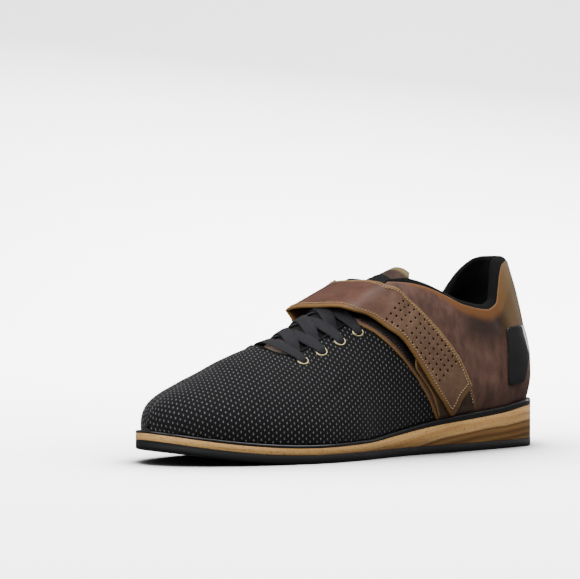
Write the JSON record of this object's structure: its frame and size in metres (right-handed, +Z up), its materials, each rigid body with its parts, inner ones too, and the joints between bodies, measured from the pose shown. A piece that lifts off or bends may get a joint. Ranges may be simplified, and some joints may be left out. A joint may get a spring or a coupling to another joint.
{
  "type": "weightlifting shoe",
  "caption": "Low weightlifting shoe with a raised wooden heel wedge, textile forefoot, leather quarters, laces and a perforated instep strap.",
  "frame": {"origin": "on the floor, in the middle of the bounding box in plan", "axes": "+X from the heel to the toe, +Y to the outer (lateral) side, +Z up"},
  "size_m": [0.3004, 0.1064, 0.1234],
  "materials": {
    "rubber": "satin",
    "wood": "satin",
    "lining": "matte",
    "upper": "matte",
    "tongue": "satin",
    "label": "matte",
    "strap": "satin",
    "pad": "satin",
    "patch": "gloss",
    "lace": "matte",
    "brass": "satin"
  },
  "bodies": {
    "root": {"outsole": "rubber", "midsole": "wood", "rand": "rubber", "insole": "lining", "upper": "upper", "tongue": "tongue", "tongue_label": "label", "strap": "strap", "strap_pad": "pad", "heel_patch": "patch", "laces": "lace", "eyelet_lateral_1": "brass", "eyelet_medial_1": "brass", "eyelet_lateral_2": "brass", "eyelet_medial_2": "brass", "eyelet_lateral_3": "brass", "eyelet_medial_3": "brass", "eyelet_lateral_4": "brass", "eyelet_medial_4": "brass"}
  },
  "joints": []
}
